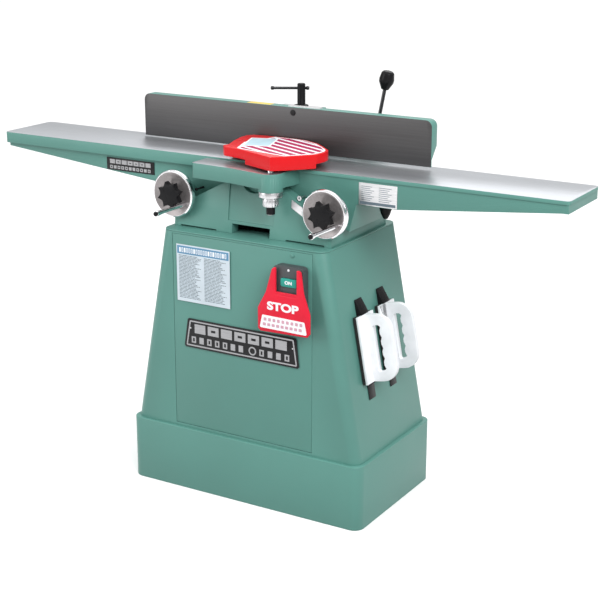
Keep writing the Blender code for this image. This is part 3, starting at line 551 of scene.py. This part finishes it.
def guard_label():
    """A white label with wide crimson stripes, cut slantwise at the left, and a pale blank panel."""
    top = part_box("guard")[1].z
    centre = Vector((0.035, -0.070))
    half = turned((0.0620, -0.0100), 0.3000, 0.6000, LABEL_TURN)
    grown = anticlockwise([tuple(centre + (Vector(p) - centre) * 0.945) for p in guard_plan()])
    outer = inside_convex(half, grown)
    middle = Vector((sum(p[0] for p in outer) / len(outer), sum(p[1] for p in outer) / len(outer)))
    inner = [tuple(middle + (Vector(p) - middle) * 0.945) for p in outer]
    bm = bmesh.new()
    add_prism(bm, outer, "z", top - 0.0005, top + 0.0003)
    finish_piece(link("guard_label", bm), "guard", WHITE_PLASTIC)
    bm = bmesh.new()
    for k in range(-6, 10):
        way = STRIPE_TURN + math.pi / 2
        spot = (0.030 + k * STRIPE_PITCH * math.cos(way), -0.075 + k * STRIPE_PITCH * math.sin(way))
        strip = inside_convex(turned(spot, 0.80, STRIPE_PITCH * 0.62, STRIPE_TURN), anticlockwise(inner))
        if len(strip) > 2:
            add_prism(bm, strip, "z", top - 0.0003, top + 0.0005)
    finish_piece(link("guard_label_stripes", bm), "guard", LABEL_CRIMSON)
    bm = bmesh.new()
    add_prism(bm, turned((-0.0375, -0.0440), 0.0800, 0.1200, LABEL_TURN), "z", top, top + 0.0006)
    finish_piece(link("guard_label_frame", bm), "guard", WHITE_PLASTIC)
    bm = bmesh.new()
    add_prism(bm, turned((-0.0375, -0.0440), 0.0700, 0.1080, LABEL_TURN), "z", top + 0.0002, top + 0.0008)
    finish_piece(link("guard_label_panel", bm), "guard", LABEL_PALE)


# ---------- plates ----------

def front_y(z):
    """The front panel's outer face at height z."""
    return -0.2121 + (z - 0.1998) * 0.003 / 0.5694


def blocks(bm, columns, row, wide, tall, y, depth, seed=3):
    """A row of plain blocks, some solid and some hollow, in place of printing. They spell nothing."""
    x0, pitch = columns[0], (columns[1] - columns[0]) / columns[2]
    wall = wide * 0.30
    for k in range(columns[2]):
        seed = (seed * 29 + 11) % 53
        left, right = x0 + k * pitch, x0 + k * pitch + wide
        if seed % 3 == 0:
            add_box(bm, (left, y - depth, row), (right, y + 0.0004, row + tall))
            continue
        add_box(bm, (left, y - depth, row), (left + wall, y + 0.0004, row + tall))
        add_box(bm, (right - wall, y - depth, row), (right, y + 0.0004, row + tall))
        add_box(bm, (left + wall, y - depth, row), (right - wall, y + 0.0004, row + wall * 0.9))
        add_box(bm, (left + wall, y - depth, row + tall - wall * 0.9), (right - wall, y + 0.0004, row + tall))


def instruction_print():
    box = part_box("instruction_plate")
    y = box[0].y
    bm = bmesh.new()
    add_box(bm, (box[0].x + 0.003, y - 0.0002, box[1].z - 0.0270),
            (box[1].x - 0.003, y + 0.0003, box[1].z - 0.004))
    finish_piece(link("instruction_header", bm), "frame", LABEL_BLUE)
    bm = bmesh.new()
    seed = 7
    for column in range(2):
        x0 = box[0].x + 0.008 + column * 0.086
        z = box[1].z - 0.0310
        while z > box[0].z + 0.008:
            seed = (seed * 73 + 41) % 101
            length = 0.052 + 0.026 * seed / 101
            reach = x0
            while reach < x0 + length:
                seed = (seed * 73 + 41) % 101
                step = 0.006 + 0.012 * seed / 101
                add_box(bm, (reach, y - 0.0002, z - 0.0017), (min(reach + step, x0 + length), y + 0.0003, z))
                reach += step + 0.0016
            z -= 0.0041
    finish_piece(link("instruction_lines", bm), "frame", INK)
    bm = bmesh.new()
    blocks(bm, (box[0].x + 0.010, box[1].x - 0.008, 20), box[1].z - 0.0225, 0.0056, 0.0135, y, 0.0004)
    finish_piece(link("instruction_heading", bm), "frame", WHITE_PLASTIC)


def ring_prism(bm, outline, inset, low, high):
    """A frame that follows an outline, of the width given, between two planes."""
    middle = Vector((sum(p[0] for p in outline) / len(outline), sum(p[1] for p in outline) / len(outline)))
    inner = []
    for i, corner in enumerate(outline):
        before = (Vector(corner) - Vector(outline[i - 1])).normalized()
        after = (Vector(outline[(i + 1) % len(outline)]) - Vector(corner)).normalized()
        turn = before - after
        if turn.length < 0.0001:
            turn = Vector((-before.y, before.x))
        turn.normalize()
        if turn.dot(middle - Vector(corner)) < 0:
            turn = -turn
        square = abs(turn.dot(Vector((-before.y, before.x))))
        inner.append(tuple(Vector(corner) + turn * inset / max(0.5, square)))
    rows = [[bm.verts.new((x, d, z)) for x, z in shape] for shape in (outline, inner) for d in (low, high)]
    count = len(outline)
    for i in range(count):
        j = (i + 1) % count
        for first, second in ((0, 2), (2, 3), (3, 1), (1, 0)):
            bm.faces.new((rows[first][i], rows[first][j], rows[second][j], rows[second][i]))


def name_plate_trim():
    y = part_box("name_plate")[0].y
    outline = arc(0.1800, 0.4500, 0.0040, 270, 360, 4) + arc(0.1700, 0.5180, 0.0040, 0, 90, 4)
    outline += arc(-0.1690, 0.5180, 0.0040, 90, 180, 4) + arc(-0.1810, 0.4500, 0.0040, 180, 270, 4)
    bm = bmesh.new()
    ring_prism(bm, outline, 0.0040, y - 0.0005, y + 0.0004)
    finish_piece(link("name_plate_border", bm), "frame", PLATE_GREY)
    bm = bmesh.new()
    blocks(bm, (-0.1560, 0.1600, 7), 0.4860, 0.0370, 0.0270, y, 0.0005)
    blocks(bm, (-0.1670, 0.0200, 7), 0.4560, 0.0150, 0.0190, y, 0.0005, 8)
    blocks(bm, (0.0620, 0.1720, 4), 0.4560, 0.0150, 0.0190, y, 0.0005, 5)
    finish_piece(link("name_plate_blocks", bm), "frame", PLATE_GREY)
    bm = bmesh.new()
    add_lathe(bm, [(0.0085, -0.0005), (0.0125, -0.0005), (0.0125, 0.0006), (0.0085, 0.0006)],
              (0.0390, y, 0.4660), (0, 1, 0), 40, True)
    finish_piece(link("name_plate_ring", bm), "frame", PLATE_GREY)
    bm = bmesh.new()
    for x, z in ((-0.1700, 0.4990), (0.1700, 0.4960)):
        screw_head(bm, x, y + 0.0001, z, (0, -1, 0), 0.0022, 0.0007)
    finish_piece(link("name_plate_rivets", bm), "frame", STEEL)


def small_plates():
    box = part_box("outfeed_plate")
    y = box[0].y
    bm = bmesh.new()
    blocks(bm, (box[0].x + 0.012, box[1].x - 0.010, 7), 0.9205, 0.0185, 0.0125, y, 0.0004)
    blocks(bm, (box[0].x + 0.012, box[1].x - 0.010, 11), 0.9055, 0.0100, 0.0095, y, 0.0004, 8)
    finish_piece(link("outfeed_plate_blocks", bm), "outfeed_table", PLATE_GREY)
    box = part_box("info_plate")
    y = box[0].y
    bm = bmesh.new()
    seed = 5
    z = box[1].z - 0.0085
    while z > box[0].z + 0.016:
        for column in range(2):
            seed = (seed * 61 + 17) % 97
            x0 = box[0].x + 0.008 + column * 0.052
            add_box(bm, (x0, y - 0.00005, z - 0.0016), (x0 + 0.026 + 0.018 * seed / 97, y + 0.0003, z))
        z -= 0.0052
    add_box(bm, (box[0].x + 0.004, y - 0.00005, box[0].z + 0.003),
            (box[1].x - 0.004, y + 0.0003, box[0].z + 0.011))
    finish_piece(link("info_plate_print", bm), "infeed_table", INK)
    bm = bmesh.new()
    for x in (box[0].x + 0.004, box[1].x - 0.004):
        for z in (box[0].z + 0.0145, box[1].z - 0.0035):
            add_lathe(bm, [(0, -0.0009), (0.0012, -0.0008), (0.0017, -0.0003), (0.0017, 0.0004),
                           (0, 0.0004)], (x, y, z), (0, 1, 0),
                      12)
    finish_piece(link("info_plate_rivets", bm), "infeed_table", STEEL)


# ---------- switch ----------

def words(name, text, size, wide, x, y, z, material, body):
    curve = bpy.data.curves.new(name, "FONT")
    curve.body = text
    curve.size = size
    curve.align_x = "CENTER"
    curve.align_y = "CENTER"
    curve.extrude = 0.0003
    curve.offset = size * 0.045
    made = bpy.data.objects.new(name, curve)
    bpy.context.scene.collection.objects.link(made)
    made.location = (x, y, z)
    made.rotation_euler = (math.pi / 2, 0, 0)
    made.scale = (wide, 1, 1)
    made.data.materials.append(material)
    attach(made, body)


def switch_trim():
    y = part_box("stop_paddle")[0].y
    words("stop_word", "STOP", 0.0305, 1.34, 0.1630, y - 0.0001, 0.6215, WHITE_PLASTIC, "stop_paddle")
    words("on_word", "ON", 0.0125, 1.15, 0.1750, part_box("on_button")[0].y - 0.0001, 0.6905, WHITE_PLASTIC,
          "on_button")
    bm = bmesh.new()
    add_box(bm, (0.1370, y + 0.0006, 0.6520), (0.2090, y + 0.0070, 0.6640))
    finish_piece(link("stop_window_sill", bm), "stop_paddle", RED_PLASTIC, 0.0006, 2)
    strip = arc(0.2340, 0.5600, 0.004, 270, 360, 4) + arc(0.2280, 0.5880, 0.004, 0, 90, 4)
    strip += arc(0.1010, 0.5900, 0.004, 90, 180, 4) + arc(0.0945, 0.5610, 0.004, 180, 270, 4)
    bm = bmesh.new()
    add_prism(bm, strip, "y", y - 0.0003, y + 0.0006)
    finish_piece(link("stop_strip", bm), "stop_paddle", WHITE_PLASTIC)
    bm = bmesh.new()
    for k in range(9):
        x0 = 0.1030 + k * 0.0142
        add_prism(bm, rounded(x0, x0 + 0.0085, 0.5780, 0.5868, 0.0015, 2), "y", y - 0.0006, y + 0.0002)
        add_prism(bm, rounded(x0 - 0.003, x0 + 0.0065, 0.5640, 0.5720, 0.0012, 2), "y", y - 0.0006,
                  y + 0.0002)
    finish_piece(link("stop_strip_marks", bm), "stop_paddle", LABEL_PINK)
    bm = bmesh.new()
    add_lathe(bm, [(0, 0), (0.0030, 0.0002), (0.0036, 0.0012), (0, 0.0012)], (0.1732, -0.2409, 0.7250),
              (0, 1, 0), 20)
    finish_piece(link("switch_lamp", bm), "frame", WHITE_PLASTIC)


# ---------- fittings ----------

def screw_head(bm, x, y, z, direction, radius, height):
    along = Vector(direction)
    add_lathe(bm, [(0, height), (radius * 0.55, height), (radius * 0.9, height * 0.75),
                   (radius, height * 0.35), (radius, 0), (0, 0)], (x, y, z), along, 24)


def fittings():
    bm = bmesh.new()
    screw_head(bm, 0.008, FENCE_FACE + 0.0002, 1.0927, (0, -1, 0), 0.0090, 0.0018)
    finish_piece(link("fence_face_screw", bm), "fence", BLACK_METAL)
    bm = bmesh.new()
    add_box(bm, (-0.150, 0.0610, FENCE_TOP - 0.0002), (-0.071, 0.0850, FENCE_TOP + 0.0003))
    finish_piece(link("fence_yellow_label", bm), "fence", YELLOW)
    bm = bmesh.new()
    screw_head(bm, 0.167, front_y(0.7576) - 0.0002, 0.7576, (0, -1, 0), 0.0060, 0.0022)
    finish_piece(link("panel_screw", bm), "frame", SHEET_GREEN)
    bm = bmesh.new()
    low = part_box("fence_carriage")
    add_box(bm, (-0.1235, 0.1840, low[1].z + 0.0001), (0.0050, 0.2340, low[1].z + 0.0012))
    finish_piece(link("slide_plate", bm), "fence_carriage", ALUMINIUM, 0.0004, 1)
    bm = bmesh.new()
    add_prism(bm, rounded(-0.0150, 0.0900, 0.0640, 0.0860, 0.003, 3), "z", FENCE_TOP - 0.0002,
              FENCE_TOP + 0.0012)
    finish_piece(link("fence_top_plate", bm), "fence", ALUMINIUM)
    bm = bmesh.new()
    y = -0.1082
    screw_head(bm, 0.1476, y, 0.9000, (0, -1, 0), 0.0030, 0.0300)
    add_lathe(bm, [(0.0030, 0.0280), (0.0068, 0.0280), (0.0068, 0.0330), (0.0030, 0.0330)],
              (0.1476, y, 0.9000), (0, -1, 0), 24, True)
    finish_piece(link("depth_pointer", bm), "infeed_table", STEEL)
    bm = bmesh.new()
    screw_head(bm, -0.1950, -0.1012, 0.8850, (0, -1, 0), 0.0030, 0.0330)
    screw_head(bm, -0.1950, -0.1342, 0.8850, (0, -1, 0), 0.0045, 0.0050)
    finish_piece(link("outfeed_stop_screw", bm), "outfeed_table", BLACK_METAL)
    bm = bmesh.new()
    for k in range(11):
        x = 0.1270 + k * 0.0040
        z = 0.9667 - 0.525 * x - 0.007
        tall = 0.010 if k % 5 == 0 else 0.006
        y0 = -(0.159 - (z - 0.779) * 0.137 + 0.0017)
        add_box(bm, (x, y0, z - tall), (x + 0.0006, y0 + 0.0008, z))
    finish_piece(link("depth_scale_marks", bm), "frame", INK)


def spring_knob_fluted():
    bm = bmesh.new()
    steps = 72
    rows = []
    for radius, z, flute in ((0.0086, 0.8797, 0), (0.0170, 0.8797, 0.4), (0.0205, 0.8815, 1),
                             (0.0222, 0.8860, 1), (0.0222, 0.9010, 1), (0.0205, 0.9040, 0.4),
                             (0.0250, 0.9052, 0), (0.0250, 0.9069, 0), (0.0086, 0.9069, 0)):
        row = []
        for i in range(steps):
            a = 2 * math.pi * i / steps
            reach = radius - 0.0012 * flute * (0.5 + 0.5 * math.cos(18 * a))
            row.append(bm.verts.new((POST[0] + reach * math.cos(a), POST[1] + reach * math.sin(a), z)))
        rows.append(row)
    for k in range(len(rows)):
        first, second = rows[k], rows[(k + 1) % len(rows)]
        for i in range(steps):
            j = (i + 1) % steps
            bm.faces.new((first[i], first[j], second[j], second[i]))
    made = finish_piece(link("spring_knob_fluted", bm), "spring_knob", STEEL)
    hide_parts("spring_knob")


def post_tip():
    bm = bmesh.new()
    add_lathe(bm, [(0, 0.8571), (0.0095, 0.8571), (0.0121, 0.8595), (0.0121, 0.8788), (0.0112, 0.8794),
                   (0.0082, 0.8794), (0.0082, 0.8700), (0, 0.8700)], (POST[0], POST[1], 0), (0, 0, 1), 40)
    finish_piece(link("post_cap", bm), "guard", BLACK_PLASTIC)


set_camera()
set_stage()
refine_all()
for way_side, table in ((-1, "outfeed"), (1, "infeed")):
    wheel(way_side, table)
    crank(way_side, table)
    lock_knob_trim(way_side, table)
guard_label()
instruction_print()
name_plate_trim()
small_plates()
switch_trim()
fittings()
spring_knob_fluted()
post_tip()
